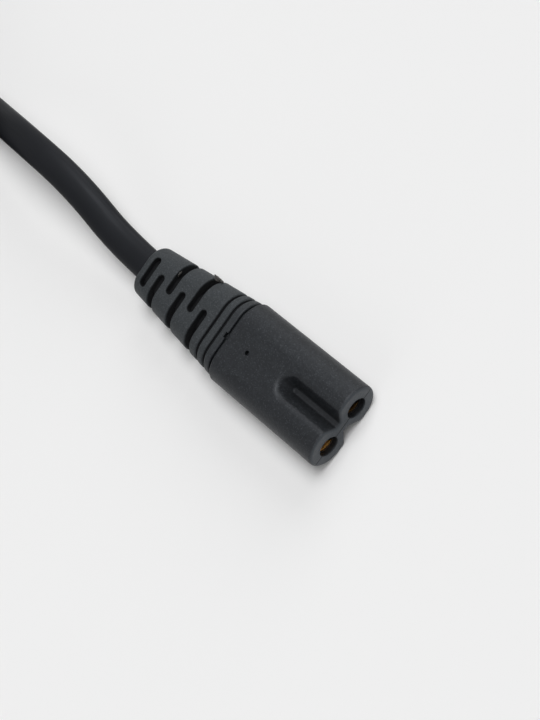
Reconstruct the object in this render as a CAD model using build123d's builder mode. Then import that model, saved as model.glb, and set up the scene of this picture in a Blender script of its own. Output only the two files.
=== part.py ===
"""Power cord with a figure-eight appliance connector and a flat two-pin plug.

Lengths are millimetres, +Z is up and the parts lie on the plane z = 0.
The origin is the bottom centre of the connector. Its mating face looks
towards +X and the cord leaves towards -X, to a tied hank and the plug.
"""
from build123d import *
from math import cos, pi, radians, sin, sqrt, tan
import os

os.makedirs("parts", exist_ok=True)

# Connector moulding
overall_length = 42.4
pin_spacing = 6.6
lobe_radius = 3.5
boot_shoulder = 0.3
boot_end_width = 8.4
boot_end_height = 6.0
boot_end_rounding = 0.8
face_rounding = 0.45

face_x = overall_length / 2
boot_end_x = -overall_length / 2
axis_height = lobe_radius
boot_end_radius = boot_end_height / 2
boot_end_spacing = boot_end_width - boot_end_height

# Waist between the two lobes
waist_thickness = 2.4
waist_floor_width = 0.8
waist_wall_angle = 56.0
waist_length = 10.7
waist_rim_rounding = 1.1
waist_corner_rounding = 0.35

# Fine grooves that mark off two narrow ridges
groove_from_end = 16.9
groove_pitch = 1.7
groove_count = 3
groove_width = 0.42
groove_depth = 0.5
ridge_rounding = 0.3

last_groove_x = boot_end_x + groove_from_end + (groove_count - 1) * groove_pitch
full_section_length = face_x - last_groove_x
boot_start_spacing = pin_spacing - boot_shoulder
boot_start_radius = lobe_radius - boot_shoulder / 2

# Slots that let the boot bend
slot_from_end = 2.0
slot_pitch = 2.5
slot_width = 1.3
slot_end_length = 5.1
slot_overlap = 0.9
side_slot_count = 5
slot_rounding = 0.15

# Marks left by the mould
notch_length = 1.1
notch_width = 0.9
notch_depth = 0.7
locating_hole_radius = 0.38
locating_hole_depth = 0.7
locating_hole_from_face = 17.6

# Flat two-core cord
cord_width = 5.1
cord_thickness = 3.1
core_radius = 1.0
core_gap = 0.1
strand_radius = 0.5
boot_bore_wall = 0.45
sheath_end_from_boot_end = 10.0
core_run_in = 2.2
core_run_out = 1.8
cut_overshoot = 1.0

cord_radius = cord_thickness / 2
core_offset = core_radius + core_gap / 2
sheath_end_x = boot_end_x + sheath_end_from_boot_end

# Contacts and the moulded insert that holds them
pin_hole_radius = 1.7
face_skin = 0.9
mate_pin_radius = 1.2
mate_clearance = 0.02
sleeve_wall = 0.34
sleeve_length = 11.0
sleeve_slit = 0.35
sleeve_recess = 0.2
contact_clearance = 0.04
insert_wall = 0.75
insert_length = 19.0
insert_web = 1.2
insert_rear_wall = 1.5
neck_length = 1.6
neck_thickness = 0.34
neck_width = 1.6
crimp_length = 3.6
crimp_wall = 0.36
core_entry = 1.0

sleeve_inner_radius = mate_pin_radius + mate_clearance
sleeve_outer_radius = sleeve_inner_radius + sleeve_wall
insert_bore_radius = sleeve_outer_radius + contact_clearance
insert_lobe_radius = insert_bore_radius + insert_wall
insert_front_x = face_x - face_skin
insert_rear_x = insert_front_x - insert_length
sleeve_front_x = insert_front_x - sleeve_recess
sleeve_rear_x = sleeve_front_x - sleeve_length
crimp_front_x = sleeve_rear_x - neck_length
crimp_rear_x = crimp_front_x - crimp_length
crimp_outer_radius = strand_radius + crimp_wall
core_end_x = insert_rear_x + core_entry

# Hank of coiled cord, with the cord standing on its narrow edge
tie_thickness = 0.6
tie_width = 4.5
tie_tail_length = 16.0
lane_pitch = 3.3
lane_count = 2
layer_pitch = 5.3
layer_count = 3
inner_lane_radius = 15.6
hank_straight = 71.0
hank_near_x = -66.0
hank_entry_y = 4.0
hank_rounding = 1.4

outer_lane_radius = inner_lane_radius + (lane_count - 1) * lane_pitch
hank_outer_radius = outer_lane_radius + cord_radius
hank_inner_radius = inner_lane_radius - cord_radius
hank_height = cord_width + (layer_count - 1) * layer_pitch
hank_near_centre_x = hank_near_x - hank_outer_radius
hank_middle_x = hank_near_centre_x - hank_straight / 2
hank_far_centre_x = hank_near_centre_x - hank_straight
hank_middle_y = hank_entry_y - outer_lane_radius
first_layer_z = tie_thickness + cord_width / 2
middle_layer_z = first_layer_z + layer_pitch

# Plug
plug_width = 35.3
plug_height = 13.7
plug_flank = 6.2
plug_block_length = 7.0
plug_taper_length = 26.0
plug_neck_width = 15.0
plug_neck_height = 10.0
plug_neck_flank = 3.4
plug_corner_rounding = 1.0
plug_boot_length = 18.0
plug_boot_rounding = 0.6
plug_boot_shoulder = 0.8
plug_pin_radius = 2.0
plug_pin_length = 19.0
plug_pin_spacing = 18.6
plug_pin_lean = 1.66
plug_pin_core_radius = 1.5
plug_pin_rounding = 1.2
plug_sleeve_length = 10.0
plug_sleeve_relief = 0.2
plug_sleeve_seat = 0.1
plug_pin_root = 13.0
plug_pin_socket = 4.0
bridge_setback = 2.0
bridge_length = 7.0
bridge_height = 6.4
bridge_margin = 2.2
bridge_rounding = 1.0
plug_sheath_entry = 12.0
plug_core_run_in = 4.0
plug_core_run_out = 5.0
plug_gap = 11.1
plug_y = -12.0

plug_end_x = hank_far_centre_x - hank_outer_radius - plug_gap
plug_z = plug_height / 2
plug_neck_x = plug_end_x - plug_boot_length
plug_block_x = plug_neck_x - plug_taper_length
plug_face_x = plug_block_x - plug_block_length
plug_sheath_x = plug_end_x - plug_sheath_entry
plug_pin_sleeve_radius = plug_pin_radius - plug_sleeve_relief


def across(x, y=0.0, z=axis_height):
    """Plane across the cord's axis at the station x."""
    return Plane(origin=(x, y, z), x_dir=(0, 1, 0), z_dir=(1, 0, 0))


def taper_share(x):
    """How far the station x lies along the boot, from 0 at its start to 1."""
    return (last_groove_x - x) / (last_groove_x - boot_end_x)


def boot_spacing(x):
    """Distance between the oval's two centres at the station x of the boot."""
    return boot_start_spacing + taper_share(x) * (boot_end_spacing - boot_start_spacing)


def boot_radius(x):
    """End radius of the oval at the station x of the boot."""
    return boot_start_radius + taper_share(x) * (boot_end_radius - boot_start_radius)


def bend_radius(first, corner, last):
    """Radius of the arc that takes 0.45 of the shorter run at a corner."""
    run_in = (Vector(*corner) - Vector(*first))
    run_out = (Vector(*last) - Vector(*corner))
    half_turn = radians(run_in.get_angle(run_out)) / 2
    return 0.45 * min(run_in.length, run_out.length) / tan(half_turn)


def bend_radii(route):
    """Arc radii for every inner corner of a route."""
    triples = zip(route, route[1:], route[2:])
    return [bend_radius(*triple) for triple in triples]


# Route of the cord from inside the boot to the hank
cord_route = [
    (sheath_end_x, 0.0, axis_height),
    (-30.0, 0.0, axis_height),
    (-51.0, 3.5, 3.1),
    (-70.0, 4.1, 2.9),
    (hank_near_centre_x, hank_entry_y, first_layer_z),
]

# Route of the cord from the hank's outer turn to the plug
leave_angle = radians(45.0)
tail_start_x = hank_far_centre_x - outer_lane_radius * sin(leave_angle)
tail_start_y = hank_middle_y + outer_lane_radius * cos(leave_angle)
tail_corner_x = tail_start_x - (tail_start_y - plug_y) / tan(leave_angle)
tail_route = [
    (tail_start_x, tail_start_y, middle_layer_z),
    (tail_corner_x, plug_y, plug_z),
    (plug_sheath_x, plug_y, plug_z),
]

cord_radii = bend_radii(cord_route)
tail_radii = bend_radii(tail_route)
print("cord bend radii", [round(value, 1) for value in cord_radii])
print("tail bend radii", [round(value, 1) for value in tail_radii])

# Hank: the outline of the wound cord, an open oval lying flat
with BuildPart() as cord_hank:
    with BuildSketch(Plane.XY.offset(tie_thickness)):
        with Locations((hank_middle_x, hank_middle_y)):
            SlotCenterToCenter(hank_straight, 2 * hank_outer_radius)
            SlotCenterToCenter(hank_straight, 2 * hank_inner_radius, mode=Mode.SUBTRACT)
    extrude(amount=hank_height)
    hank_rims = cord_hank.faces().sort_by(Axis.Z)
    fillet(hank_rims[0].edges() + hank_rims[-1].edges(), radius=hank_rounding)
cord_hank.part.label = "cord_hank"

# Cord between the boot and the hank, one flat sheath
with BuildPart() as cord:
    with BuildLine() as cord_line:
        FilletPolyline(*cord_route, radius=cord_radii)
    with BuildSketch(Plane(origin=cord_route[0], x_dir=(0, 1, 0), z_dir=(-1, 0, 0))):
        SlotCenterToCenter(cord_width - cord_thickness, cord_thickness)
    sweep()
    cord_section = pi * cord_radius ** 2 + (cord_width - cord_thickness) * cord_thickness
    cord_expected = cord_section * sum(edge.length for edge in cord_line.edges())
    print("cord volume", round(cord.part.volume, 2), "section by length", round(cord_expected, 2))
    add(cord_hank.part, mode=Mode.SUBTRACT)
cord.part.label = "cord"

with BuildPart() as cord_tail:
    with BuildLine() as tail_line:
        FilletPolyline(*reversed(tail_route), radius=tail_radii)
    with BuildSketch(across(*tail_route[-1])):
        SlotCenterToCenter(cord_width - cord_thickness, cord_thickness)
    sweep()
    tail_expected = cord_section * sum(edge.length for edge in tail_line.edges())
    print("tail volume", round(cord_tail.part.volume, 2), "section by length", round(tail_expected, 2))
    add(cord_hank.part, mode=Mode.SUBTRACT)
cord_tail.part.label = "cord_tail"


# Moulded insert that carries both contacts
with BuildPart() as contact_carrier:
    with BuildSketch(across(insert_rear_x)):
        with GridLocations(pin_spacing, 1, 2, 1):
            Circle(insert_lobe_radius)
        Rectangle(pin_spacing, insert_web)
    extrude(amount=insert_length)
    bore_rear_x = insert_rear_x + insert_rear_wall
    with BuildSketch(across(bore_rear_x)):
        with GridLocations(pin_spacing, 1, 2, 1):
            Circle(insert_bore_radius)
    extrude(amount=insert_length - insert_rear_wall, mode=Mode.SUBTRACT)
    with BuildSketch(across(insert_rear_x)):
        with GridLocations(pin_spacing, 1, 2, 1):
            Circle(core_radius)
    extrude(amount=insert_rear_wall, mode=Mode.SUBTRACT)
contact_carrier.part.label = "contact_carrier"


def contact_neck(y):
    """Strip that joins a contact's sleeve to its crimped barrel."""
    start = sleeve_rear_x + neck_thickness
    end = crimp_front_x - neck_thickness
    barrel_low = crimp_outer_radius - neck_thickness
    with BuildPart() as neck:
        with BuildSketch(Plane(origin=(0, y, axis_height), x_dir=(1, 0, 0), z_dir=(0, -1, 0))):
            with BuildLine():
                Polyline(
                    (start, -sleeve_outer_radius),
                    (start, -sleeve_inner_radius - neck_thickness / 4),
                    (sleeve_rear_x, -sleeve_inner_radius),
                    (crimp_front_x, -barrel_low),
                    (end, -barrel_low),
                    (end, -crimp_outer_radius),
                    (crimp_front_x, -crimp_outer_radius),
                    (sleeve_rear_x, -sleeve_outer_radius),
                    close=True,
                )
            make_face()
        extrude(amount=neck_width / 2, both=True)
        with BuildSketch(across(end, y)):
            Circle(sleeve_outer_radius)
        extrude(amount=start - end, mode=Mode.INTERSECT)
    return neck.part


def socket_contact(side):
    """Split sleeve, neck and crimped barrel, rolled from one strip."""
    y = side * pin_spacing / 2
    with BuildPart() as contact:
        with BuildSketch(across(sleeve_rear_x, y)):
            Circle(sleeve_outer_radius)
            Circle(sleeve_inner_radius, mode=Mode.SUBTRACT)
        extrude(amount=sleeve_length)
        with BuildSketch(across(crimp_rear_x, y)):
            Circle(crimp_outer_radius)
            Circle(strand_radius, mode=Mode.SUBTRACT)
        extrude(amount=crimp_length)
        add(contact_neck(y), mode=Mode.ADD)
        slit_middle = (sleeve_front_x + sleeve_rear_x) / 2
        with Locations((slit_middle, y, axis_height + sleeve_outer_radius)):
            slit_depth = 2 * sleeve_wall + sleeve_slit
            Box(sleeve_length + neck_thickness, sleeve_slit, slit_depth, mode=Mode.SUBTRACT)
    return contact


socket_contact_left = socket_contact(-1)
socket_contact_left.part.label = "socket_contact_left"
socket_contact_right = socket_contact(1)
socket_contact_right.part.label = "socket_contact_right"


def swept_round(route, radii, radius, inner=0.0):
    """Round rod or tube along a route with arcs at its corners."""
    heading = (Vector(*route[1]) - Vector(*route[0])).normalized()
    with BuildPart() as rod:
        with BuildLine():
            FilletPolyline(*route, radius=radii)
        with BuildSketch(Plane(origin=route[0], z_dir=heading)):
            Circle(radius)
            if inner > 0:
                Circle(inner, mode=Mode.SUBTRACT)
        sweep()
    return rod


def connector_route(side, end_x):
    """Core from the sheath's end, spread to its contact."""
    near = side * core_offset
    far = side * pin_spacing / 2
    return [
        (sheath_end_x, near, axis_height),
        (sheath_end_x + core_run_in, near, axis_height),
        (insert_rear_x - core_run_out, far, axis_height),
        (end_x, far, axis_height),
    ]


core_radii = bend_radii(connector_route(1, core_end_x))
connector_core_left = swept_round(connector_route(-1, core_end_x), core_radii, core_radius, strand_radius)
connector_core_left.part.label = "connector_core_left"
connector_core_right = swept_round(connector_route(1, core_end_x), core_radii, core_radius, strand_radius)
connector_core_right.part.label = "connector_core_right"
connector_wire_left = swept_round(connector_route(-1, crimp_front_x), core_radii, strand_radius)
connector_wire_left.part.label = "connector_wire_left"
connector_wire_right = swept_round(connector_route(1, crimp_front_x), core_radii, strand_radius)
connector_wire_right.part.label = "connector_wire_right"


def slot_blade(x, start_y, end_y, y, z, half_height):
    """Blade that cuts one slot, round at its ends, down to the cord's tube."""
    with BuildPart() as blade:
        with BuildSketch(Plane.XY.offset(z - half_height)):
            with Locations((x, y + (start_y + end_y) / 2)):
                SlotOverall(abs(end_y - start_y), slot_width, rotation=90)
        extrude(amount=2 * half_height)
        with BuildSketch(across(x - slot_width, y, z)):
            SlotCenterToCenter(cord_width - cord_thickness, cord_thickness + 2 * boot_bore_wall)
        extrude(amount=2 * slot_width, mode=Mode.SUBTRACT)
    return blade.part


def boot_blades(end_x, heading, y, z, half_width, half_height):
    """Blades for one boot: one centred, then by turns from either side."""
    station = end_x + heading * slot_from_end
    reach = half_width + slot_width
    blades = [slot_blade(station, -slot_end_length / 2, slot_end_length / 2, y, z, half_height)]
    for index in range(side_slot_count):
        side = -1 if index % 2 == 0 else 1
        station += heading * slot_pitch
        blades.append(slot_blade(station, -side * slot_overlap, side * reach, y, z, half_height))
    return blades


def waist_cutter():
    """Wedge with a flat floor and a scooped rear end, above the web."""
    wall_slope = tan(radians(waist_wall_angle))
    floor_half = waist_floor_width / 2
    floor_z = axis_height + waist_thickness / 2
    top_z = axis_height + lobe_radius + cut_overshoot
    top_half = floor_half + (top_z - floor_z) / wall_slope
    scoop_x = face_x - waist_length + floor_half + (axis_height + lobe_radius - floor_z) / wall_slope
    with BuildPart() as cutter:
        with BuildSketch(across(scoop_x, z=0)):
            with BuildLine():
                Polyline(
                    (-floor_half, floor_z),
                    (floor_half, floor_z),
                    (top_half, top_z),
                    (-top_half, top_z),
                    close=True,
                )
            make_face()
        extrude(amount=face_x - scoop_x + cut_overshoot)
        with BuildSketch(across(scoop_x, z=0)):
            with BuildLine():
                Polyline((0, floor_z), (floor_half, floor_z), (top_half, top_z), (0, top_z), close=True)
            make_face()
        revolve(axis=Axis((scoop_x, 0, 0), (0, 0, 1)))
        floor_face = cutter.faces().sort_by(Axis.Z)[0]
        floor_edges = [edge for edge in floor_face.edges() if edge.center().X < face_x]
        fillet(floor_edges, radius=waist_corner_rounding)
    return cutter.part


def height_over_boot(edge):
    """How far an edge's middle stands out from the boot's tapered oval."""
    middle = edge.position_at(0.5)
    beyond = max(abs(middle.Y) - boot_spacing(edge.center().X) / 2, 0.0)
    return sqrt(beyond ** 2 + (middle.Z - axis_height) ** 2) - boot_radius(edge.center().X)


# Overmoulding: body, ridges and slotted boot in one shot
with BuildPart() as connector_body:
    with BuildSketch(across(last_groove_x)):
        SlotCenterToCenter(pin_spacing, 2 * lobe_radius)
    extrude(amount=full_section_length)
    with BuildSketch(across(last_groove_x)):
        SlotCenterToCenter(boot_start_spacing, 2 * boot_start_radius)
    with BuildSketch(across(boot_end_x)):
        SlotCenterToCenter(boot_end_spacing, boot_end_height)
    loft()
    boot_rim = connector_body.faces().sort_by(Axis.X)[0].edges()
    fillet(boot_rim, radius=boot_end_rounding)

    # Waist from above and below, its rims and the face's edge rounded
    upper_cutter = waist_cutter()
    add(upper_cutter, mode=Mode.SUBTRACT)
    add(upper_cutter.mirror(Plane.XY.offset(axis_height)), mode=Mode.SUBTRACT)
    waist_rims = [
        edge
        for edge in connector_body.edges()
        if abs(abs(edge.center().Z - axis_height) - lobe_radius) < 0.02
        and abs(edge.center().Y) < pin_spacing / 2 - 0.1
        and face_x - waist_length - 0.5 < edge.center().X < face_x - 0.01
    ]
    fillet(waist_rims, radius=waist_rim_rounding)
    mating_face = connector_body.faces().filter_by(Plane.YZ).sort_by(Axis.X)[-1]
    fillet(mating_face.edges(), radius=face_rounding)

    # Fine grooves round the moulding, with the ridges between them rounded
    groove_stations = [boot_end_x + groove_from_end + index * groove_pitch for index in range(groove_count)]
    for station in groove_stations:
        spacing = boot_spacing(station)
        radius = boot_radius(station)
        with BuildSketch(across(station - groove_width / 2)):
            SlotCenterToCenter(spacing, 2 * (radius + groove_depth))
            SlotCenterToCenter(spacing, 2 * (radius - groove_depth), mode=Mode.SUBTRACT)
        extrude(amount=groove_width, mode=Mode.SUBTRACT)
    ridge_edges = [
        edge
        for station in groove_stations
        for edge in connector_body.edges()
        if abs(abs(edge.center().X - station) - groove_width / 2) < 0.02
        and height_over_boot(edge) > -groove_depth / 2
    ]
    fillet(ridge_edges, radius=ridge_rounding)

    # Slots that let the boot bend, with softened rims
    half_section = pin_spacing / 2 + lobe_radius
    for blade in boot_blades(boot_end_x, 1, 0.0, axis_height, half_section, axis_height):
        add(blade, mode=Mode.SUBTRACT)
    last_slot_x = boot_end_x + slot_from_end + side_slot_count * slot_pitch
    slot_rims = [
        edge
        for edge in connector_body.edges()
        if boot_end_x + boot_end_rounding + 0.05 < edge.center().X < last_slot_x + slot_width
        and height_over_boot(edge) > -slot_rounding
    ]
    fillet(slot_rims, radius=slot_rounding)

    # Mould marks on the upper side: a notch at the last groove and a pin hole
    notch_x = groove_stations[-1]
    notch_top = axis_height + boot_radius(notch_x)
    with Locations((notch_x, 0, notch_top)):
        Box(notch_length, notch_width, 2 * notch_depth, mode=Mode.SUBTRACT)
    with BuildSketch(Plane.XY.offset(axis_height + lobe_radius - locating_hole_depth)):
        with Locations((face_x - locating_hole_from_face, 0)):
            Circle(locating_hole_radius)
    extrude(amount=2 * locating_hole_depth, mode=Mode.SUBTRACT)

    # Pin holes in the face, and the room that the moulded-in pieces take up
    with BuildSketch(across(insert_front_x)):
        with GridLocations(pin_spacing, 1, 2, 1):
            Circle(pin_hole_radius)
    extrude(amount=2 * face_skin, mode=Mode.SUBTRACT)
    with BuildSketch(across(boot_end_x - slot_width)):
        SlotCenterToCenter(cord_width - cord_thickness, cord_thickness)
    extrude(amount=sheath_end_x - boot_end_x + slot_width, mode=Mode.SUBTRACT)
    with BuildSketch(across(insert_rear_x)):
        with GridLocations(pin_spacing, 1, 2, 1):
            Circle(insert_lobe_radius)
        Rectangle(pin_spacing, insert_web)
    extrude(amount=insert_length, mode=Mode.SUBTRACT)
    for side in (-1, 1):
        add(swept_round(connector_route(side, core_end_x), core_radii, core_radius).part, mode=Mode.SUBTRACT)
connector_body.part.label = "connector_body"

# Tie round the middle of the hank, its ends twisted into one tail
with BuildPart() as hank_tie:
    tie_plane = across(hank_middle_x - tie_width / 2, y=hank_middle_y, z=tie_thickness + hank_height / 2)
    with BuildSketch(tie_plane):
        RectangleRounded(
            2 * hank_outer_radius + 2 * tie_thickness,
            hank_height + 2 * tie_thickness,
            hank_rounding + tie_thickness,
        )
        RectangleRounded(2 * hank_outer_radius, hank_height, hank_rounding, mode=Mode.SUBTRACT)
    extrude(amount=tie_width)
    knot_z = hank_height + 2 * tie_thickness
    with BuildSketch(Plane.XY.offset(knot_z - tie_thickness / 2)):
        with Locations((hank_middle_x, hank_middle_y)):
            Circle(1.5 * tie_thickness)
    extrude(amount=2.5 * tie_thickness)
    with Locations((hank_middle_x, hank_middle_y + tie_tail_length / 2, knot_z + 1.2 * tie_thickness)):
        Box(2 * tie_thickness, tie_tail_length, 1.6 * tie_thickness)
hank_tie.part.label = "hank_tie"


def hexagon_points(width, height, flank):
    """Corners of a flat hexagon with blunt points at its sides."""
    half_width = width / 2
    half_height = height / 2
    flat = half_width - flank
    return [
        (half_width, 0),
        (flat, half_height),
        (-flat, half_height),
        (-half_width, 0),
        (-flat, -half_height),
        (flat, -half_height),
    ]


def pin_plane(side, out=0.0):
    """Plane across one leaning plug pin, a distance out from the plug's face."""
    lean = radians(plug_pin_lean)
    base = Plane(
        origin=(plug_face_x, plug_y + side * plug_pin_spacing / 2, plug_z),
        x_dir=(0, 0, 1),
        z_dir=(-cos(lean), -side * sin(lean), 0),
    )
    return base.offset(out)


def plug_pin(side):
    """Turned pin: bare round tip, thinner shank in the sleeve, bored root."""
    with BuildPart() as pin:
        with BuildSketch(pin_plane(side, -plug_pin_root)):
            Circle(plug_pin_core_radius)
        extrude(amount=plug_pin_root + plug_sleeve_length)
        with BuildSketch(pin_plane(side, plug_sleeve_length)):
            Circle(plug_pin_radius)
        extrude(amount=plug_pin_length - plug_sleeve_length)
        tip = pin.faces().filter_by(GeomType.PLANE).sort_by(Axis.X)[0]
        fillet(tip.edges(), radius=plug_pin_rounding)
        with BuildSketch(pin_plane(side, -plug_pin_root)):
            Circle(strand_radius)
        extrude(amount=plug_pin_socket, mode=Mode.SUBTRACT)
    return pin


def round_tube(side, start, end, radius, inner=0.0):
    """Round rod or tube on a pin's axis between two distances from the face."""
    with BuildPart() as tube:
        with BuildSketch(pin_plane(side, start)):
            Circle(radius)
            if inner > 0:
                Circle(inner, mode=Mode.SUBTRACT)
        extrude(amount=end - start)
    return tube


plug_pin_left = plug_pin(-1)
plug_pin_left.part.label = "plug_pin_left"
plug_pin_right = plug_pin(1)
plug_pin_right.part.label = "plug_pin_right"
sleeve_span = (plug_sleeve_seat - bridge_setback, plug_sleeve_length)
pin_sleeve_left = round_tube(-1, *sleeve_span, plug_pin_sleeve_radius, plug_pin_core_radius)
pin_sleeve_left.part.label = "pin_sleeve_left"
pin_sleeve_right = round_tube(1, *sleeve_span, plug_pin_sleeve_radius, plug_pin_core_radius)
pin_sleeve_right.part.label = "pin_sleeve_right"


# Bridge that holds both pins at their distance inside the plug
with BuildPart() as plug_bridge:
    bridge_x = plug_face_x + bridge_setback
    bridge_width = plug_pin_spacing + 2 * (plug_pin_core_radius + bridge_margin)
    with BuildSketch(across(bridge_x, y=plug_y, z=plug_z)):
        RectangleRounded(bridge_width, bridge_height, bridge_rounding)
    extrude(amount=bridge_length)
    for side in (-1, 1):
        add(round_tube(side, -plug_pin_root, 0.0, plug_pin_core_radius).part, mode=Mode.SUBTRACT)
plug_bridge.part.label = "plug_bridge"


def plug_core_route(side, overlap):
    """Core from the sheath's end to the root of its pin."""
    near = plug_y + side * core_offset
    before = pin_plane(side, -plug_pin_root - plug_core_run_out).origin
    end = pin_plane(side, -plug_pin_root + overlap).origin
    return [
        (plug_sheath_x, near, plug_z),
        (plug_sheath_x - plug_core_run_in, near, plug_z),
        (before.X, before.Y, before.Z),
        (end.X, end.Y, end.Z),
    ]


plug_core_radii = bend_radii(plug_core_route(1, 0.0))
plug_core_left = swept_round(plug_core_route(-1, 0.0), plug_core_radii, core_radius, strand_radius)
plug_core_left.part.label = "plug_core_left"
plug_core_right = swept_round(plug_core_route(1, 0.0), plug_core_radii, core_radius, strand_radius)
plug_core_right.part.label = "plug_core_right"
plug_wire_left = swept_round(plug_core_route(-1, plug_pin_socket), plug_core_radii, strand_radius)
plug_wire_left.part.label = "plug_wire_left"
plug_wire_right = swept_round(plug_core_route(1, plug_pin_socket), plug_core_radii, strand_radius)
plug_wire_right.part.label = "plug_wire_right"

# Plug moulding: block, tapered grip and ribbed boot in one shot
with BuildPart() as plug_body:
    with BuildSketch(across(plug_face_x, y=plug_y, z=plug_z)):
        with BuildLine():
            Polyline(*hexagon_points(plug_width, plug_height, plug_flank), close=True)
        make_face()
    extrude(amount=plug_block_length)
    with BuildSketch(across(plug_block_x, y=plug_y, z=plug_z)):
        with BuildLine():
            Polyline(*hexagon_points(plug_width, plug_height, plug_flank), close=True)
        make_face()
    with BuildSketch(across(plug_neck_x, y=plug_y, z=plug_z)):
        with BuildLine():
            Polyline(*hexagon_points(plug_neck_width, plug_neck_height, plug_neck_flank), close=True)
        make_face()
    loft()
    long_edges = [edge for edge in plug_body.edges() if edge.length > plug_block_length - 0.1]
    fillet(long_edges, radius=plug_corner_rounding)
    boot_start_height = plug_neck_height - 2 * plug_boot_shoulder
    boot_start_width = plug_neck_width - 2 * plug_boot_shoulder
    with BuildSketch(across(plug_neck_x, y=plug_y, z=plug_z)):
        SlotCenterToCenter(boot_start_width - boot_start_height, boot_start_height)
    with BuildSketch(across(plug_end_x, y=plug_y, z=plug_z)):
        SlotCenterToCenter(boot_end_spacing, boot_end_height)
    loft()
    fillet(plug_body.faces().sort_by(Axis.X)[-1].edges(), radius=plug_boot_rounding)
    for blade in boot_blades(plug_end_x, -1, plug_y, plug_z, boot_start_width / 2, boot_start_height / 2):
        add(blade, mode=Mode.SUBTRACT)

    # Room for what the plug is moulded round
    for side in (-1, 1):
        add(round_tube(side, -plug_pin_root, cut_overshoot, plug_pin_core_radius).part, mode=Mode.SUBTRACT)
        add(round_tube(side, sleeve_span[0], cut_overshoot, plug_pin_sleeve_radius).part, mode=Mode.SUBTRACT)
        add(swept_round(plug_core_route(side, 0.0), plug_core_radii, core_radius).part, mode=Mode.SUBTRACT)
    with BuildSketch(across(bridge_x, y=plug_y, z=plug_z)):
        RectangleRounded(bridge_width, bridge_height, bridge_rounding)
    extrude(amount=bridge_length, mode=Mode.SUBTRACT)
    with BuildSketch(across(plug_sheath_x, y=plug_y, z=plug_z)):
        SlotCenterToCenter(cord_width - cord_thickness, cord_thickness)
    extrude(amount=plug_sheath_entry + cut_overshoot, mode=Mode.SUBTRACT)
plug_body.part.label = "plug_body"

pieces = [
    connector_body,
    contact_carrier,
    socket_contact_left,
    socket_contact_right,
    connector_core_left,
    connector_core_right,
    connector_wire_left,
    connector_wire_right,
    cord,
    cord_hank,
    hank_tie,
    cord_tail,
    plug_body,
    plug_bridge,
    plug_pin_left,
    plug_pin_right,
    pin_sleeve_left,
    pin_sleeve_right,
    plug_core_left,
    plug_core_right,
    plug_wire_left,
    plug_wire_right,
]
for piece in pieces:
    print(piece.part.label, piece.part.is_valid, len(piece.part.solids()), round(piece.part.volume, 2))

export_step(connector_body.part, "parts/connector_body.step")
export_step(contact_carrier.part, "parts/contact_carrier.step")
export_step(socket_contact_left.part, "parts/socket_contact_left.step")
export_step(socket_contact_right.part, "parts/socket_contact_right.step")
export_step(connector_core_left.part, "parts/connector_core_left.step")
export_step(connector_core_right.part, "parts/connector_core_right.step")
export_step(connector_wire_left.part, "parts/connector_wire_left.step")
export_step(connector_wire_right.part, "parts/connector_wire_right.step")
export_step(cord.part, "parts/cord.step")
export_step(cord_hank.part, "parts/cord_hank.step")
export_step(hank_tie.part, "parts/hank_tie.step")
export_step(cord_tail.part, "parts/cord_tail.step")
export_step(plug_body.part, "parts/plug_body.step")
export_step(plug_bridge.part, "parts/plug_bridge.step")
export_step(plug_pin_left.part, "parts/plug_pin_left.step")
export_step(plug_pin_right.part, "parts/plug_pin_right.step")
export_step(pin_sleeve_left.part, "parts/pin_sleeve_left.step")
export_step(pin_sleeve_right.part, "parts/pin_sleeve_right.step")
export_step(plug_core_left.part, "parts/plug_core_left.step")
export_step(plug_core_right.part, "parts/plug_core_right.step")
export_step(plug_wire_left.part, "parts/plug_wire_left.step")
export_step(plug_wire_right.part, "parts/plug_wire_right.step")
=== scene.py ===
"""Power cord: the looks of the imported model, in metres and in its own frame.

The connector lies on z = 0 with its mating face towards +X. The cord leaves
towards -X, to a tied hank and the plug.
"""

import bpy
import numpy as np
from mathutils import Matrix, Vector


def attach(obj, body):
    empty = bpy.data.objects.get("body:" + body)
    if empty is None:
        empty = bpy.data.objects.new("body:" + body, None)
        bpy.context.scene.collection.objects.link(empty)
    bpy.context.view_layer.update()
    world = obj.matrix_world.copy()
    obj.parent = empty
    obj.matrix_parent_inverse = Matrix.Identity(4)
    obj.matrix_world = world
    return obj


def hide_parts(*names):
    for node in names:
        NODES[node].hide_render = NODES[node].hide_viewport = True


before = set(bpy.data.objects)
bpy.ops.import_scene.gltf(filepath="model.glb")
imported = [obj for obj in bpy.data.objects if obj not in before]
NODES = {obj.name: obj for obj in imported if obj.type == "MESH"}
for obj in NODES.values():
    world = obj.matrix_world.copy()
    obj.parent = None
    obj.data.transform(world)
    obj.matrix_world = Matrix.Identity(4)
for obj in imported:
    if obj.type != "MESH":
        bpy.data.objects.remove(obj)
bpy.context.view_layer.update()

MM = 0.001

# Camera, fitted to the connector's face, holes and outline. Its lens, sensor
# and place are in millimetres, and the range that it sees is in metres.
LENS = 75.0
SENSOR_HEIGHT = 36.0
CAMERA_PLACE = (116.25, 26.15, 186.96)
CAMERA_RIGHT = (0.6626, 0.5748, -0.4801)
CAMERA_FORWARD = (-0.5140, -0.1172, -0.8497)
CAMERA_RANGE = (0.01, 20.0)

# Connector, in metres
AXIS_HEIGHT = 3.5 * MM
FACE_X = 21.2 * MM
HOLE_OFFSET = 3.3 * MM
CONTACT_MOUTH = 20.1 * MM

# Plug
PLUG_Y = -12.0 * MM
PLUG_HEIGHT = 6.85 * MM
PLUG_FACE = -240.0 * MM

# Oval section at both ends of a boot: its x, half its spacing, its radius
CONNECTOR_BOOT = ((-0.9 * MM, 3.15 * MM, 3.35 * MM), (-21.2 * MM, 1.2 * MM, 3.0 * MM))
PLUG_BOOT = ((-207.0 * MM, 2.5 * MM, 4.2 * MM), (-189.0 * MM, 1.2 * MM, 3.0 * MM))

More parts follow.
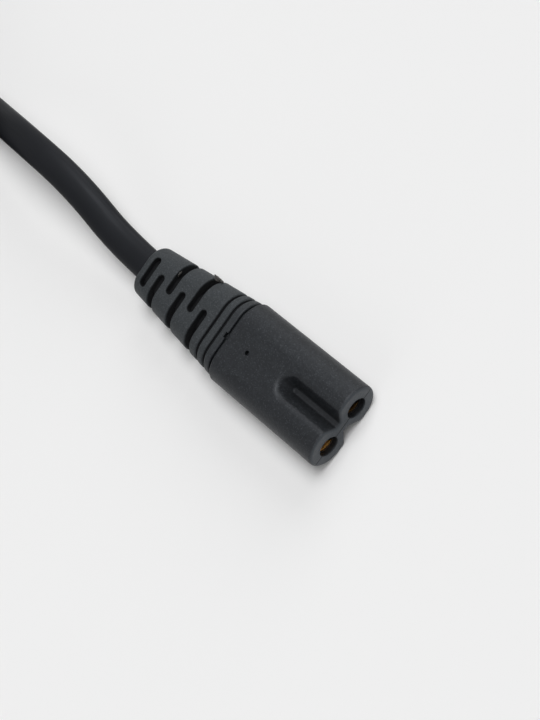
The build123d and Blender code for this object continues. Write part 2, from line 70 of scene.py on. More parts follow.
# Flat sheath: its section, the spacing of its rings and the points of each
CORD_WIDTH = 5.1 * MM
CORD_THICKNESS = 3.1 * MM
CORD_FULLNESS = 2.5
CORD_STEP = 1.0 * MM
SECTION_POINTS = 32

# Spline of the cord: with order three it touches the middle of each side of
# the polygon that its control points make, and each side gets ten steps
SPLINE_ORDER = 3
SPLINE_STEPS = 10

# Hank, with the cord standing on its narrow edge
INNER_LANE = 15.6 * MM
OUTER_LANE = 18.9 * MM
MIDDLE_LANE = (INNER_LANE + OUTER_LANE) / 2
FIRST_LAYER = 3.15 * MM
LAYER_PITCH = 5.3 * MM
HANK_STRAIGHT = 71.0 * MM
HANK_NEAR_X = -86.45 * MM
HANK_FAR_X = HANK_NEAR_X - HANK_STRAIGHT
HANK_MIDDLE_Y = -14.9 * MM

# Turns of the hank: the lane and layer of each in the order of winding, half
# the angle between two corners, the stations of the way back, those of the
# last turn, and the share of a half circle over which the fifth turn drops
TURN_PLACES = (
    (OUTER_LANE, 0), (INNER_LANE, 0), (INNER_LANE, 1),
    (INNER_LANE, 2), (OUTER_LANE, 2), (OUTER_LANE, 1),
)
HALF_CORNER = np.radians(10.0)
BACK_STATIONS = 7
LAST_TURN_STATIONS = 4
DROP_SHARE = 0.6

# Route of the cord before and after the hank, in millimetres
ROUTE_START = (
    (-11.2, 0.0, 3.5), (-27.0, 0.0, 3.5), (-39.5, 3.4, 7.8),
    (-53.0, 4.1, 9.4), (-67.0, 3.8, 5.0), (-86.45, 4.0, 3.15),
)
ROUTE_END = (
    (-172.15, -2.56, 8.2), (-179.5, -8.7, 7.5), (-188.5, -12.0, 6.9),
    (-201.0, -12.0, 6.85),
)

# Where the cord turns onto its edge, measured from its start, and where it
# lies down again, measured back from its end
TWIST_START = (54 * MM, 78 * MM)
TWIST_END = (36 * MM, 14 * MM)

# Width of the patterns
FINE_PIT = 0.22 * MM
COARSE_PIT = 0.6 * MM
FLOW_PATCH = 3.5 * MM
MELT_PATCH = 2.0 * MM
MOULD_GRAIN = 0.35 * MM
TORN_GRAIN = 0.2 * MM
DIE_LINE = 0.3 * MM
RIB_PITCH = 0.7 * MM
TARNISH_SPOT = 0.3 * MM
DRAW_MARK = 0.2 * MM

# Depth of the patterns
PIT_DEPTH = 0.03 * MM
SEAM_DEPTH = 0.06 * MM
DIE_LINE_DEPTH = 0.006 * MM
SHEATH_GRAIN_DEPTH = 0.004 * MM
MOULD_GRAIN_DEPTH = 0.004 * MM
RIB_DEPTH = 0.03 * MM
DRAW_MARK_DEPTH = 0.0006 * MM

# How fast a pattern of lines changes along them, for one across them
DIE_LINE_CHANGE = 0.03
DRAW_MARK_CHANGE = 0.08

# Zones of a moulding, each from where it begins to where it is full, and the
# most that two of them show
BOOT_BLEND = 2 * MM
FACE_LIGHT_BLEND = 0.3 * MM
SLOT_DEPTH = (0.12 * MM, 0.4 * MM)
WAIST_DEPTH = (0.9 * MM, 1.9 * MM)
SEAM_HALF_WIDTH = (0.05 * MM, 0.14 * MM)
# Most that the mating face's painted light shows
FACE_LIGHT_SHARE = 0.9
# Most that the waist floor's painted shade shows
WAIST_SHADE_SHARE = 0.5

# Painted highlight on a contact's edge: the way to it from the hole's axis,
# sideways and down, how far out it begins and is full, and how deep in the mouth
HIGHLIGHT_SIDE, HIGHLIGHT_DOWN = 0.4, 0.92
HIGHLIGHT_REACH = (0.75 * MM, 1.1 * MM)
MOUTH_DEPTH = (1.0 * MM, 0.3 * MM)

# Noise: the values that hold nearly all of a pattern, and those over which
# the haze and the single grains' painted glints come out, with the most that they show
NOISE_RANGE = (0.3, 0.7)
HAZE_RANGE, HAZE_SHARE = (0.45, 0.75), 0.2
GLINT_RANGE, GLINT_SHARE = (0.58, 0.76), 0.17

# Roughness at both ends of the noise, as a value or as a share of the
# piece's own, and what the boot and the sunk places add to it
PITTED_ROUGHNESS = (0.38, 0.54)
BOOT_ROUGHER = 0.14
SUNK_ROUGHER = 0.35
SHEATH_ROUGHNESS = (0.44, 0.54)
TARNISHED_ROUGHNESS = (0.38, 0.58)
MOULDED_SHARES = (0.85, 1.15)
DRAWN_SHARES = (0.7, 1.4)

# Colour sockets of a Mix node, by number because others share their names
MIX_FIRST, MIX_SECOND, MIXED = 6, 7, 2

# Crumbs of torn skin: name, place and size in millimetres, seed of the shape
CRUMBS = (
    ("slot_flash", (-9.2, 5.45, 4.95), (1.5, 0.65, 0.9), 3),
    ("slot_flash_chip", (-14.75, 2.6, 6.0), (0.3, 0.8, 0.35), 5),
    ("edge_flash", (-11.0, -5.35, 2.6), (0.35, 0.3, 0.4), 8),
)
CRUMB_POINTS = 20
CRUMB_RINGS = 12
CRUMB_REACH = 1.35
BROAD_SWELL = 0.30
SLANTED_SWELL = 0.22
FINE_SWELL = 0.18

# Lamps: the way each shines, its share of the light and its width in degrees
LAMPS = (
    ("key", (0.0, -0.42, -1.0), 0.46, 34.0),
    ("overhead", (-0.35, -0.22, -1.0), 0.28, 44.0),
    ("rim", (0.20, -0.9, -0.40), 0.12, 36.0),
    ("fill", (-0.10, 0.9, -0.40), 0.04, 50.0),
)
WORLD_SHARE = 0.10
BACKGROUND = "EFEFEF"
FLOOR_SIZE = 6.0


def aim_camera():
    """Camera at its fitted place, its up square to its right and forward."""
    data = bpy.data.cameras.new("photo_camera")
    data.sensor_fit = "VERTICAL"
    data.sensor_height = SENSOR_HEIGHT
    data.lens = LENS
    data.clip_start, data.clip_end = CAMERA_RANGE
    camera = bpy.data.objects.new("photo_camera", data)
    bpy.context.scene.collection.objects.link(camera)
    right = Vector(CAMERA_RIGHT).normalized()
    forward = Vector(CAMERA_FORWARD).normalized()
    up = right.cross(forward)
    right = forward.cross(up)
    place = Matrix((right, up, -forward)).transposed().to_4x4()
    place.translation = Vector(CAMERA_PLACE) * MM
    camera.matrix_world = place
    bpy.context.scene.camera = camera


def linear(code):
    """sRGB hex such as 2A2C2F as a linear colour with full alpha."""
    value = np.array([int(code[i:i + 2], 16) for i in (0, 2, 4)]) / 255.0
    value = np.where(value <= 0.04045, value / 12.92, ((value + 0.055) / 1.055) ** 2.4)
    return (*value.tolist(), 1.0)


def add_node(tree, kind, settings):
    """One shader node and its outputs.

    A setting is the name of a property, or the name or number of an input
    socket, with its value or with the output that is linked to it.
    """
    made = tree.nodes.new("ShaderNode" + kind)
    for name, value in settings.items():
        if isinstance(value, bpy.types.NodeSocket):
            tree.links.new(value, made.inputs[name])
        elif isinstance(name, int) or name in made.inputs:
            made.inputs[name].default_value = value
        else:
            setattr(made, name, value)
    return made.outputs


def new_material(name, **shader):
    """Material with one Principled shader and its constant sockets set."""
    material = bpy.data.materials.new(name)
    material.use_nodes = True
    tree = material.node_tree
    surface = tree.nodes["Principled BSDF"]
    for socket, value in shader.items():
        surface.inputs[socket.replace("_", " ")].default_value = value
    return material, tree, surface


def spark_eroded_pvc(name, face_x, boot, axis_y, axis_z):
    """Soft black PVC from a spark-eroded mould.

    The eroded steel leaves a fine pitted skin: a dull grey haze with single
    brighter grains about 0.2 mm wide, whose brightness is partly painted glint.
    The boot was eroded more coarsely, so it looks paler and duller than the
    body. The mating face is painted paler, as painted light. The walls of the
    boot's slots are painted black as painted shade, and the floor of the waist
    between the lobes gets painted shade, darker than their tops. A fine groove
    runs round where the two halves of the mould met, and it is painted near
    black as painted shade.

    How deep a point lies is measured from the boot's oval: the oval's radius
    less the distance to the line between the centres of its round sides.
    """
    (start_x, start_spacing, start_radius), (end_x, end_spacing, end_radius) = boot
    towards_end = 1.0 if end_x > start_x else -1.0
    material, tree, surface = new_material(
        name, IOR=1.53, Specular_IOR_Level=0.28, Specular_Tint=linear("EDF2FA"),
    )
    place = add_node(tree, "TexCoord", {})["Object"]
    x, y, z = add_node(tree, "SeparateXYZ", {0: place})
    fine = add_node(tree, "TexNoise", {
        "Vector": place, "Scale": 1 / FINE_PIT, "Detail": 3.0, "Roughness": 0.6,
    })["Fac"]
    coarse = add_node(tree, "TexNoise", {
        "Vector": place, "Scale": 1 / COARSE_PIT, "Detail": 2.0,
    })["Fac"]
    cloud = add_node(tree, "TexNoise", {
        "Vector": place, "Scale": 1 / FLOW_PATCH, "Detail": 2.0,
    })["Fac"]
    grain = add_node(tree, "TexNoise", {
        "Vector": place, "Scale": 1 / FINE_PIT, "Detail": 1.0,
    })["Fac"]

    # Boot, and the mating face's painted light
    on_boot = add_node(tree, "MapRange", {
        "Value": x, "From Min": start_x, "From Max": start_x + towards_end * BOOT_BLEND,
    })["Result"]
    face_painted_light = add_node(tree, "MapRange", {
        "Value": x, "From Min": face_x + towards_end * FACE_LIGHT_BLEND, "From Max": face_x,
        "To Max": FACE_LIGHT_SHARE,
    })["Result"]

    # Depth below the oval: painted shade on the slot walls and the floor of the waist
    spacing = add_node(tree, "MapRange", {
        "Value": x, "From Min": start_x, "From Max": end_x,
        "To Min": start_spacing, "To Max": end_spacing,
    })["Result"]
    radius = add_node(tree, "MapRange", {
        "Value": x, "From Min": start_x, "From Max": end_x,
        "To Min": start_radius, "To Max": end_radius,
    })["Result"]
    off_side = add_node(tree, "Math", {"operation": "SUBTRACT", 0: y, 1: axis_y})[0]
    off_side = add_node(tree, "Math", {"operation": "ABSOLUTE", 0: off_side})[0]
    beyond = add_node(tree, "Math", {"operation": "SUBTRACT", 0: off_side, 1: spacing})[0]
    beyond = add_node(tree, "Math", {"operation": "MAXIMUM", 0: beyond, 1: 0.0})[0]
    rise = add_node(tree, "Math", {"operation": "SUBTRACT", 0: z, 1: axis_z})[0]
    distance = add_node(tree, "CombineXYZ", {0: beyond, 1: rise})[0]
    distance = add_node(tree, "VectorMath", {"operation": "LENGTH", 0: distance})["Value"]
    depth = add_node(tree, "Math", {"operation": "SUBTRACT", 0: radius, 1: distance})[0]
    slot_wall_shade = add_node(tree, "MapRange", {
        "Value": depth, "From Min": SLOT_DEPTH[0], "From Max": SLOT_DEPTH[1], "To Max": on_boot,
    })["Result"]
    waist_floor_shade = add_node(tree, "MapRange", {
        "Value": depth, "From Min": WAIST_DEPTH[0], "From Max": WAIST_DEPTH[1],
        "To Max": WAIST_SHADE_SHARE,
    })["Result"]
    sunk = add_node(tree, "Math", {"operation": "MAXIMUM", 0: slot_wall_shade, 1: waist_floor_shade})[0]

    # Parting groove, half-way up: a real groove in the bump, and painted shade in the colour
    off_seam = add_node(tree, "Math", {"operation": "ABSOLUTE", 0: rise})[0]
    seam_groove_and_shade = add_node(tree, "MapRange", {
        "Value": off_seam, "From Min": SEAM_HALF_WIDTH[0], "From Max": SEAM_HALF_WIDTH[1],
        "To Min": 1.0, "To Max": 0.0,
    })["Result"]

    body = add_node(tree, "Mix", {
        "data_type": "RGBA", 0: cloud,
        MIX_FIRST: linear("050607"), MIX_SECOND: linear("111316"),
    })[MIXED]
    boot_grain = add_node(tree, "MapRange", {
        "Value": fine, "From Min": NOISE_RANGE[0], "From Max": NOISE_RANGE[1],
    })["Result"]
    rough_skin = add_node(tree, "Mix", {
        "data_type": "RGBA", 0: boot_grain,
        MIX_FIRST: linear("1B1E1F"), MIX_SECOND: linear("313436"),
    })[MIXED]
    colour = add_node(tree, "Mix", {
        "data_type": "RGBA", 0: on_boot, MIX_FIRST: body, MIX_SECOND: rough_skin,
    })[MIXED]
    haze = add_node(tree, "MapRange", {
        "Value": coarse, "From Min": HAZE_RANGE[0], "From Max": HAZE_RANGE[1],
        "To Max": HAZE_SHARE,
    })["Result"]
    grain_glint = add_node(tree, "MapRange", {
        "Value": grain, "From Min": GLINT_RANGE[0], "From Max": GLINT_RANGE[1],
        "To Max": GLINT_SHARE,
    })["Result"]
    # Layers over the colour: haze, painted glints of the grains, painted shade in the slots and
    # waist, painted light on the face, painted shade in the groove
    layers = (
        (haze, "323639"), (grain_glint, "6C7076"), (sunk, "020202"),
        (face_painted_light, "414549"), (seam_groove_and_shade, "020202"),
    )
    for shown, code in layers:
        colour = add_node(tree, "Mix", {
            "data_type": "RGBA", 0: shown, MIX_FIRST: colour, MIX_SECOND: linear(code),
        })[MIXED]
    tree.links.new(colour, surface.inputs["Base Color"])

    gloss = add_node(tree, "MapRange", {
        "Value": fine, "From Min": NOISE_RANGE[0], "From Max": NOISE_RANGE[1],
        "To Min": PITTED_ROUGHNESS[0], "To Max": PITTED_ROUGHNESS[1],
    })["Result"]
    for zone, rougher in ((on_boot, BOOT_ROUGHER), (sunk, SUNK_ROUGHER)):
        gloss = add_node(tree, "Math", {
            "operation": "MULTIPLY_ADD", 0: zone, 1: rougher, 2: gloss,
        })[0]
    tree.links.new(gloss, surface.inputs["Roughness"])

    # The boot's pits are twice as deep
    pits = add_node(tree, "Math", {"operation": "ADD", 0: fine, 1: coarse})[0]
    deeper = add_node(tree, "Math", {"operation": "ADD", 0: on_boot, 1: 1.0})[0]
    pits = add_node(tree, "Math", {"operation": "MULTIPLY", 0: pits, 1: deeper})[0]
    pits = add_node(tree, "Math", {"operation": "MULTIPLY", 0: pits, 1: PIT_DEPTH})[0]
    height = add_node(tree, "Math", {
        "operation": "MULTIPLY_ADD", 0: seam_groove_and_shade, 1: -SEAM_DEPTH, 2: pits,
    })[0]
    bump = add_node(tree, "Bump", {"Strength": 1.0, "Distance": 1.0, "Height": height})
    tree.links.new(bump["Normal"], surface.inputs["Normal"])
    return material


def extruded_pvc():
    """Satin black PVC sheath, drawn through the extruder's die.

    The die leaves lines 0.3 mm apart along the cord, too shallow to count
    one by one; they break the long soft highlight into fine streaks.
    """
    material, tree, surface = new_material(
        "extruded_pvc", IOR=1.53, Specular_IOR_Level=0.155, Specular_Tint=linear("EDF2FA"),
    )
    place = add_node(tree, "TexCoord", {})["UV"]
    drawn = add_node(tree, "Mapping", {"Scale": (1.0, DIE_LINE_CHANGE, 1.0), "Vector": place})[0]
    lines = add_node(tree, "TexNoise", {
        "Vector": drawn, "Scale": 1 / DIE_LINE, "Detail": 2.0,
    })["Fac"]
    cloud = add_node(tree, "TexNoise", {
        "Vector": place, "Scale": 1 / FLOW_PATCH, "Detail": 2.0,
    })["Fac"]
    grain = add_node(tree, "TexNoise", {
        "Vector": place, "Scale": 1 / FINE_PIT, "Detail": 2.0,
    })["Fac"]
    colour = add_node(tree, "Mix", {
        "data_type": "RGBA", 0: cloud,
        MIX_FIRST: linear("060709"), MIX_SECOND: linear("0C0D11"),
    })[MIXED]
    tree.links.new(colour, surface.inputs["Base Color"])
    gloss = add_node(tree, "MapRange", {
        "Value": lines, "From Min": NOISE_RANGE[0], "From Max": NOISE_RANGE[1],
        "To Min": SHEATH_ROUGHNESS[0], "To Max": SHEATH_ROUGHNESS[1],
    })["Result"]
    tree.links.new(gloss, surface.inputs["Roughness"])
    height = add_node(tree, "Math", {"operation": "MULTIPLY", 0: lines, 1: DIE_LINE_DEPTH})[0]
    height = add_node(tree, "Math", {
        "operation": "MULTIPLY_ADD", 0: grain, 1: SHEATH_GRAIN_DEPTH, 2: height,
    })[0]
    bump = add_node(tree, "Bump", {"Strength": 1.0, "Distance": 1.0, "Height": height})
    tree.links.new(bump["Normal"], surface.inputs["Normal"])
    return material


def plain_plastic(name, dark, light, roughness, grain=MOULD_GRAIN):
    """Plastic from a smooth mould or die: one tone with faint soft patches."""
    material, tree, surface = new_material(name, IOR=1.5)
    place = add_node(tree, "TexCoord", {})["Object"]
    cloud = add_node(tree, "TexNoise", {"Vector": place, "Scale": 1 / MELT_PATCH})["Fac"]
    skin = add_node(tree, "TexNoise", {"Vector": place, "Scale": 1 / grain})["Fac"]
    colour = add_node(tree, "Mix", {
        "data_type": "RGBA", 0: cloud, MIX_FIRST: linear(dark), MIX_SECOND: linear(light),
    })[MIXED]
    tree.links.new(colour, surface.inputs["Base Color"])
    gloss = add_node(tree, "MapRange", {
        "Value": skin, "From Min": NOISE_RANGE[0], "From Max": NOISE_RANGE[1],
        "To Min": MOULDED_SHARES[0] * roughness, "To Max": MOULDED_SHARES[1] * roughness,
    })["Result"]
    tree.links.new(gloss, surface.inputs["Roughness"])
    bump = add_node(tree, "Bump", {
        "Strength": 1.0, "Distance": MOULD_GRAIN_DEPTH, "Height": skin,
    })
    tree.links.new(bump["Normal"], surface.inputs["Normal"])
    return material


def ribbed_strap():
    """Black polyethylene strap, rolled with fine ribs along it.

    The ribs are 0.7 mm apart and catch a thin light line each.
    """
    material, tree, surface = new_material("rolled_polyethylene", IOR=1.5, Roughness=0.42)
    place = add_node(tree, "TexCoord", {})["Object"]
    across = add_node(tree, "SeparateXYZ", {0: place})["X"]
    phase = add_node(tree, "Math", {
        "operation": "MULTIPLY", 0: across, 1: 2 * np.pi / RIB_PITCH,
    })[0]
    wave = add_node(tree, "Math", {"operation": "SINE", 0: phase})[0]
    cloud = add_node(tree, "TexNoise", {"Vector": place, "Scale": 1 / MELT_PATCH})["Fac"]
    colour = add_node(tree, "Mix", {
        "data_type": "RGBA", 0: cloud,
        MIX_FIRST: linear("101113"), MIX_SECOND: linear("1B1C1F"),
    })[MIXED]
    tree.links.new(colour, surface.inputs["Base Color"])
    bump = add_node(tree, "Bump", {"Strength": 1.0, "Distance": RIB_DEPTH, "Height": wave})
    tree.links.new(bump["Normal"], surface.inputs["Normal"])
    return material


def sprung_bronze(name, middle_y, highlight_share):
    """Stamped phosphor-bronze contact, dull brown with a painted highlight on one edge.

    The strip's rolled face is tarnished. The mouth's lower edge gets a painted
    highlight, a thin golden arc.
    """
    material, tree, surface = new_material(name, Metallic=1.0)
    place = add_node(tree, "TexCoord", {})["Object"]
    x, y, z = add_node(tree, "SeparateXYZ", {0: place})
    side = add_node(tree, "Math", {"operation": "SUBTRACT", 0: middle_y, 1: y})[0]
    drop = add_node(tree, "Math", {"operation": "SUBTRACT", 0: AXIS_HEIGHT, 1: z})[0]
    drop = add_node(tree, "Math", {"operation": "MULTIPLY", 0: drop, 1: HIGHLIGHT_DOWN})[0]
    lower = add_node(tree, "Math", {
        "operation": "MULTIPLY_ADD", 0: side, 1: HIGHLIGHT_SIDE, 2: drop,
    })[0]
    edge = add_node(tree, "MapRange", {
        "Value": lower, "From Min": HIGHLIGHT_REACH[0], "From Max": HIGHLIGHT_REACH[1],
        "To Max": highlight_share,
    })["Result"]
    mouth = add_node(tree, "MapRange", {
        "Value": x, "From Min": CONTACT_MOUTH - MOUTH_DEPTH[0],
        "From Max": CONTACT_MOUTH - MOUTH_DEPTH[1], "To Max": edge,
    })["Result"]
    spots = add_node(tree, "TexNoise", {"Vector": place, "Scale": 1 / TARNISH_SPOT})["Fac"]
    dull = add_node(tree, "Mix", {
        "data_type": "RGBA", 0: spots,
        MIX_FIRST: linear("0C0906"), MIX_SECOND: linear("1D130B"),
    })[MIXED]
    # Painted highlight: the golden arc on the mouth's lower edge
    colour = add_node(tree, "Mix", {
        "data_type": "RGBA", 0: mouth, MIX_FIRST: dull, MIX_SECOND: linear("FFC067"),
    })[MIXED]
    tree.links.new(colour, surface.inputs["Base Color"])
    gloss = add_node(tree, "MapRange", {
        "Value": spots, "From Min": NOISE_RANGE[0], "From Max": NOISE_RANGE[1],
        "To Min": TARNISHED_ROUGHNESS[0], "To Max": TARNISHED_ROUGHNESS[1],
    })["Result"]
    tree.links.new(gloss, surface.inputs["Roughness"])
    return material


def drawn_metal(name, code, roughness):
    """Drawn or plated metal: a clear reflection with faint marks along X.

    Real drawing marks are finer than this. They are drawn 0.2 mm wide, which
    is as coarse as they need to show.
    """
    material, tree, surface = new_material(name, Metallic=1.0, Base_Color=linear(code))
    place = add_node(tree, "TexCoord", {})["Object"]
    drawn = add_node(tree, "Mapping", {"Scale": (DRAW_MARK_CHANGE, 1.0, 1.0), "Vector": place})[0]
    marks = add_node(tree, "TexNoise", {"Vector": drawn, "Scale": 1 / DRAW_MARK})["Fac"]
    gloss = add_node(tree, "MapRange", {
        "Value": marks, "From Min": NOISE_RANGE[0], "From Max": NOISE_RANGE[1],
        "To Min": DRAWN_SHARES[0] * roughness, "To Max": DRAWN_SHARES[1] * roughness,
    })["Result"]
    tree.links.new(gloss, surface.inputs["Roughness"])
    bump = add_node(tree, "Bump", {
        "Strength": 1.0, "Distance": DRAW_MARK_DEPTH, "Height": marks,
    })
    tree.links.new(bump["Normal"], surface.inputs["Normal"])
    return material


def paint(piece, material):
    """Give a piece, or a carried-over node, its one material."""
    piece.data.materials.clear()
    piece.data.materials.append(material)


def hank_turns():
    """Control points of the wound turns, in metres.

    A station is a point of the hank's middle line, a direction away from it
    and a share: its control point lies at the lane's radius times the share.
    Round an end, the stations are the corners of the polygon that touches
    the lane's circle every 20 degrees, and one more station beside each end
    of the circle keeps the spline on it. Each turn moves to the next place
    of the bundle within its own window of the way round, one after another,
    so that no turn passes through its neighbour.
    """
    angles = np.arange(HALF_CORNER, np.pi, 2 * HALF_CORNER)
    ends = np.ones(len(angles))
    corner = ends / np.cos(HALF_CORNER)
    beside = MIDDLE_LANE * np.tan(HALF_CORNER)
    out = np.array([beside, HANK_STRAIGHT - beside])
    back = np.linspace(beside, HANK_STRAIGHT - beside, BACK_STATIONS)
    middle_x = np.concatenate([
        HANK_NEAR_X - out, HANK_FAR_X * ends, HANK_FAR_X + back, HANK_NEAR_X * ends,
    ])
    away_x = np.concatenate([0 * out, -np.sin(angles), 0 * back, np.sin(angles)])
    away_y = np.concatenate([0 * out + 1, np.cos(angles), 0 * back - 1, -np.cos(angles)])
    share = np.concatenate([0 * out + 1, corner, 0 * back + 1, corner])

    # The way round: out, round the far end, back and round the near end
    half_round = np.pi * MIDDLE_LANE
    round_far = HANK_STRAIGHT + MIDDLE_LANE * angles
    back_start = HANK_STRAIGHT + half_round
    round_near = back_start + HANK_STRAIGHT + MIDDLE_LANE * angles
    way = np.concatenate([out, round_far, back_start + back, round_near])

    # Each turn's window is a third of the straight way back, but the fifth
    # drops a layer on its way round the far end. The last turn keeps its place
    # whatever its window.
    third = HANK_STRAIGHT / 3
    windows = (
        (back_start + 2 * third, back_start + 3 * third),
        (back_start + third, back_start + 2 * third),
        (back_start + third, back_start + 2 * third),
        (back_start, back_start + third),
        (back_start - DROP_SHARE * half_round, back_start),
        (back_start, back_start + third),
    )
    next_places = TURN_PLACES[1:] + TURN_PLACES[-1:]
    turns = []
    for place, next_place, (start, stop) in zip(TURN_PLACES, next_places, windows):
        moved = np.clip((way - start) / (stop - start), 0, 1)
        lane = place[0] + moved * (next_place[0] - place[0])
        layer = place[1] + moved * (next_place[1] - place[1])
        reach = lane * share
        turns.append(np.stack([
            middle_x + reach * away_x,
            HANK_MIDDLE_Y + reach * away_y,
            FIRST_LAYER + layer * LAYER_PITCH,
        ], axis=1))

    # The cord comes in straight, so its first station isn't needed, and it
    # leaves for the plug on its way round the far end
    turns[0] = turns[0][1:]
    turns[-1] = turns[-1][:LAST_TURN_STATIONS]
    return np.concatenate(turns)


def cord_route():
    """Control points of the whole cord, from inside the boot to the plug."""
    return np.concatenate([np.array(ROUTE_START) * MM, hank_turns(), np.array(ROUTE_END) * MM])


def spline_points(points):
    """Points along a NURBS spline that has these control points."""
    curve = bpy.data.curves.new("route", "CURVE")
    curve.dimensions = "3D"
    spline = curve.splines.new("NURBS")
    spline.points.add(len(points) - 1)
    spline.points.foreach_set("co", np.column_stack([points, np.ones(len(points))]).ravel())
    spline.order_u = SPLINE_ORDER
    spline.use_endpoint_u = True
    spline.resolution_u = SPLINE_STEPS
    carrier = bpy.data.objects.new("route", curve)
    bpy.context.scene.collection.objects.link(carrier)
    bpy.context.view_layer.update()
    mesh = bpy.data.meshes.new_from_object(carrier)
    line = np.empty(len(mesh.vertices) * 3)
    mesh.vertices.foreach_get("co", line)
    bpy.data.objects.remove(carrier)
    bpy.data.curves.remove(curve)
    bpy.data.meshes.remove(mesh)
    return line.reshape(-1, 3)


def way_along(points):
    """The way from the first point to each, in straight steps."""
    steps = np.linalg.norm(np.diff(points, axis=0), axis=1)
    return np.concatenate([[0.0], np.cumsum(steps)])


def even_points(line, step):
    """The same line with its points one step apart, and the way to each."""
    run = way_along(line)
    places = np.linspace(0.0, run[-1], int(run[-1] / step) + 1)
    even = np.stack([np.interp(places, run, line[:, axis]) for axis in range(3)], axis=1)
    return even, places


def tube_mesh(name, rings, around, along):
    """Closed surface through rings of points, with one flat face at each end.

    Each point is joined to the next of its ring and to the same two of the
    next ring. The UV map holds the metres given, around a ring and along
    from ring to ring, and the step that closes a ring is as long as its
    first one.
    """
    count, ring = rings.shape[:2]
    own = np.arange(count * ring).reshape(count, ring)
    turned = np.roll(own, -1, axis=1)
    quads = np.stack([own[:-1], turned[:-1], turned[1:], own[1:]], axis=-1).reshape(-1, 4)
    caps = [own[0, ::-1].tolist(), own[-1].tolist()]
    mesh = bpy.data.meshes.new(name)
    mesh.from_pydata(rings.reshape(-1, 3).tolist(), [], quads.tolist() + caps)
    width = np.append(around, around[-1] + around[1] - around[0])
    first, second = np.meshgrid(along[:-1], width[:-1], indexing="ij")
    third, fourth = np.meshgrid(along[1:], width[1:], indexing="ij")
    corners = np.stack([
        np.stack([second, first], -1), np.stack([fourth, first], -1),
        np.stack([fourth, third], -1), np.stack([second, third], -1),
    ], axis=2).reshape(-1, 2)
    flat_ends = np.zeros((len(caps) * ring, 2))
    layer = mesh.uv_layers.new(name="UVMap")
    layer.data.foreach_set("uv", np.concatenate([corners, flat_ends]).ravel())
    mesh.polygons.foreach_set("use_smooth", [True] * len(quads) + [False] * len(caps))
    mesh.update()
    piece = bpy.data.objects.new(name, mesh)
    bpy.context.scene.collection.objects.link(piece)
    return piece


def flat_section():
    """Outline of the flat sheath: an oval a little fuller than an ellipse.

    The shares of the half width and the half thickness, each raised to the
    fullness, add up to one; an ellipse has a fullness of two.
    """
    turn = np.linspace(0, 2 * np.pi, SECTION_POINTS, endpoint=False)
    power = 2 / CORD_FULLNESS
    side = np.sign(np.cos(turn)) * np.abs(np.cos(turn)) ** power * CORD_WIDTH / 2
    rise = np.sign(np.sin(turn)) * np.abs(np.sin(turn)) ** power * CORD_THICKNESS / 2
    return np.stack([side, rise], axis=1)


def smooth_step(value, low, high):
    """0 below low, 1 above high, and a soft S between.

    The S is three times the square of the share less twice its cube.
    """
    share = np.clip((value - low) / (high - low), 0.0, 1.0)
    return share * share * (3.0 - 2.0 * share)


def make_cord(material):
    """The whole lead as one flat tube along the line of its NURBS spline.

    A point of a ring is the line's point, plus the section's width along a
    level direction square to the line, plus its thickness along the one
    square to both. The two directions turn about the line by the twist:
    none at the connector and the plug, where the cord lies on its broad
    side, and a right angle in the hank, where it stands on its narrow edge.
    """
    line, run = even_points(spline_points(cord_route()), CORD_STEP)
    along = np.gradient(line, axis=0)
    along /= np.linalg.norm(along, axis=1)[:, None]
    level = np.cross(np.array([0.0, 0.0, 1.0]), along)
    level /= np.linalg.norm(level, axis=1)[:, None]
    up = np.cross(along, level)
    before, after = TWIST_END
    lies_down = smooth_step(run, run[-1] - before, run[-1] - after)
    stand = smooth_step(run, *TWIST_START) * (1.0 - lies_down)
    twist = (-stand * np.pi / 2)[:, None]
    broad = np.cos(twist) * level + np.sin(twist) * up
    thin = np.cos(twist) * up - np.sin(twist) * level
    section = flat_section()
    sideways = section[None, :, :1] * broad[:, None]
    upwards = section[None, :, 1:] * thin[:, None]
    rings = line[:, None] + sideways + upwards
    cord = tube_mesh("mains_cord", rings, way_along(section), run)
    paint(cord, material)
    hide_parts("cord", "cord_hank", "cord_tail")
    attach(cord, "root")
    return cord, line, float(run[-1])


def flash_crumb(name, place, size, seed, material):
    """Torn skin that the mould left on a slot's rim.

    A small ball drawn out to the given size, cut flat at both ends. Its
    radius swells and shrinks by three waves, each made of sines of the turn
    round the ball and the lift from its middle, with phases drawn from the
    seed.
    """
    turn = np.linspace(0, 2 * np.pi, CRUMB_POINTS, endpoint=False)[None, :]
    lift = np.linspace(-CRUMB_REACH, CRUMB_REACH, CRUMB_RINGS)[:, None]
    phase = np.random.default_rng(seed).uniform(0, 2 * np.pi, 4)
    broad = BROAD_SWELL * np.sin(3 * turn + phase[0]) * np.cos(lift)
    slanted = SLANTED_SWELL * np.sin(5 * lift + 2 * turn + phase[1])
    fine = FINE_SWELL * np.sin(7 * turn + phase[2]) * np.sin(4 * lift + phase[3])
    swell = 1 + broad + slanted + fine
    ball = np.stack([
        np.cos(turn) * np.cos(lift), np.sin(turn) * np.cos(lift), np.sin(lift) + 0 * turn,
    ], axis=-1)
    rings = np.array(place) * MM + ball * swell[..., None] * np.array(size) * MM / 2
    around = np.linspace(0, 1, CRUMB_POINTS) * MM
    along = np.linspace(0, 1, CRUMB_RINGS) * MM
    crumb = tube_mesh(name, rings, around, along)
    paint(crumb, material)
    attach(crumb, "root")


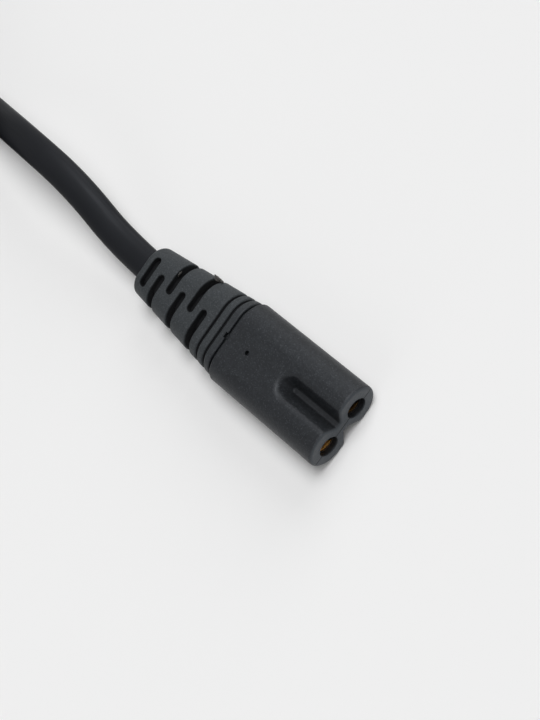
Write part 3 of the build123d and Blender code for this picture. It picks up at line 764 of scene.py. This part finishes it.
def soft_studio():
    """Plain pale floor and world, and soft lamps from above and both sides.

    The shares of light add up to one, so that a colour shows about as it is
    written, and the floor's own colour gives the background. A sun's strength
    is its share times pi, divided by the downward part of its way, because
    slanting light is spread over more floor.
    """
    world = bpy.data.worlds.new("studio")
    bpy.context.scene.world = world
    world.use_nodes = True
    tree = world.node_tree
    tree.nodes.clear()
    rays = add_node(tree, "LightPath", {})
    seen = add_node(tree, "Math", {
        "operation": "MAXIMUM", 0: rays["Is Camera Ray"], 1: rays["Is Glossy Ray"],
    })[0]
    seen = add_node(tree, "Math", {
        "operation": "MAXIMUM", 0: seen, 1: rays["Is Transmission Ray"],
    })[0]
    light = add_node(tree, "Background", {"Color": linear("FFFFFF"), "Strength": WORLD_SHARE})[0]
    shown = add_node(tree, "Background", {"Color": linear(BACKGROUND), "Strength": 1.0})[0]
    both = add_node(tree, "MixShader", {0: seen, 1: light, 2: shown})[0]
    add_node(tree, "OutputWorld", {0: both})

    bpy.ops.mesh.primitive_plane_add(size=FLOOR_SIZE, location=(0, 0, 0))
    floor = bpy.context.object
    floor.name = "floor"
    material = new_material(
        "pale_floor", Roughness=1.0, Specular_IOR_Level=0.0, Base_Color=linear(BACKGROUND),
    )[0]
    paint(floor, material)

    for name, way, share, width in LAMPS:
        lamp = bpy.data.lights.new(name, "SUN")
        lamp.angle = np.radians(width)
        heading = Vector(way).normalized()
        lamp.energy = share * np.pi / -heading.z
        holder = bpy.data.objects.new(name, lamp)
        bpy.context.scene.collection.objects.link(holder)
        holder.rotation_euler = heading.to_track_quat("-Z", "Y").to_euler()


aim_camera()
moulded = spark_eroded_pvc("spark_eroded_pvc", FACE_X, CONNECTOR_BOOT, 0.0, AXIS_HEIGHT)
plug_moulded = spark_eroded_pvc(
    "spark_eroded_pvc_plug", PLUG_FACE, PLUG_BOOT, PLUG_Y, PLUG_HEIGHT,
)

# Torn skin is matt and blotched black and brownish grey
torn = plain_plastic("torn_pvc", "0B0B0C", "35312D", 0.5, TORN_GRAIN)
sheath = extruded_pvc()
strap = ribbed_strap()

# Inserts and pin sleeves are hard and near black, the sleeves glossier
insert = plain_plastic("moulded_nylon", "0E0F11", "17181B", 0.5)
sleeve = plain_plastic("moulded_polyamide", "131417", "1C1D20", 0.35)

# The right contact's painted highlight is only faint
bronze_left = sprung_bronze("phosphor_bronze_highlit_left", -HOLE_OFFSET, 1.0)
bronze_right = sprung_bronze("phosphor_bronze_faintly_highlit_right", HOLE_OFFSET, 0.16)
copper = drawn_metal("drawn_copper", "D9875F", 0.3)
nickel = drawn_metal("nickel_plated_brass", "C9C7C0", 0.16)

# The cores' insulation is extruded in full colours
blue = plain_plastic("blue_core_pvc", "184F96", "1F5FB0", 0.4)
brown = plain_plastic("brown_core_pvc", "4A2819", "5A3220", 0.4)

finishes = {
    "connector_body": moulded,
    "contact_carrier": insert,
    "socket_contact_left": bronze_left,
    "socket_contact_right": bronze_right,
    "connector_core_left": blue,
    "connector_core_right": brown,
    "connector_wire_left": copper,
    "connector_wire_right": copper,
    "hank_tie": strap,
    "plug_body": plug_moulded,
    "plug_bridge": insert,
    "plug_pin_left": nickel,
    "plug_pin_right": nickel,
    "pin_sleeve_left": sleeve,
    "pin_sleeve_right": sleeve,
    "plug_core_left": blue,
    "plug_core_right": brown,
    "plug_wire_left": copper,
    "plug_wire_right": copper,
}
for name, material in finishes.items():
    paint(NODES[name], material)

cord, line, cord_length = make_cord(sheath)
for name, place, size, seed in CRUMBS:
    flash_crumb(name, place, size, seed, torn)
soft_studio()

bpy.context.scene.view_settings.view_transform = "Standard"
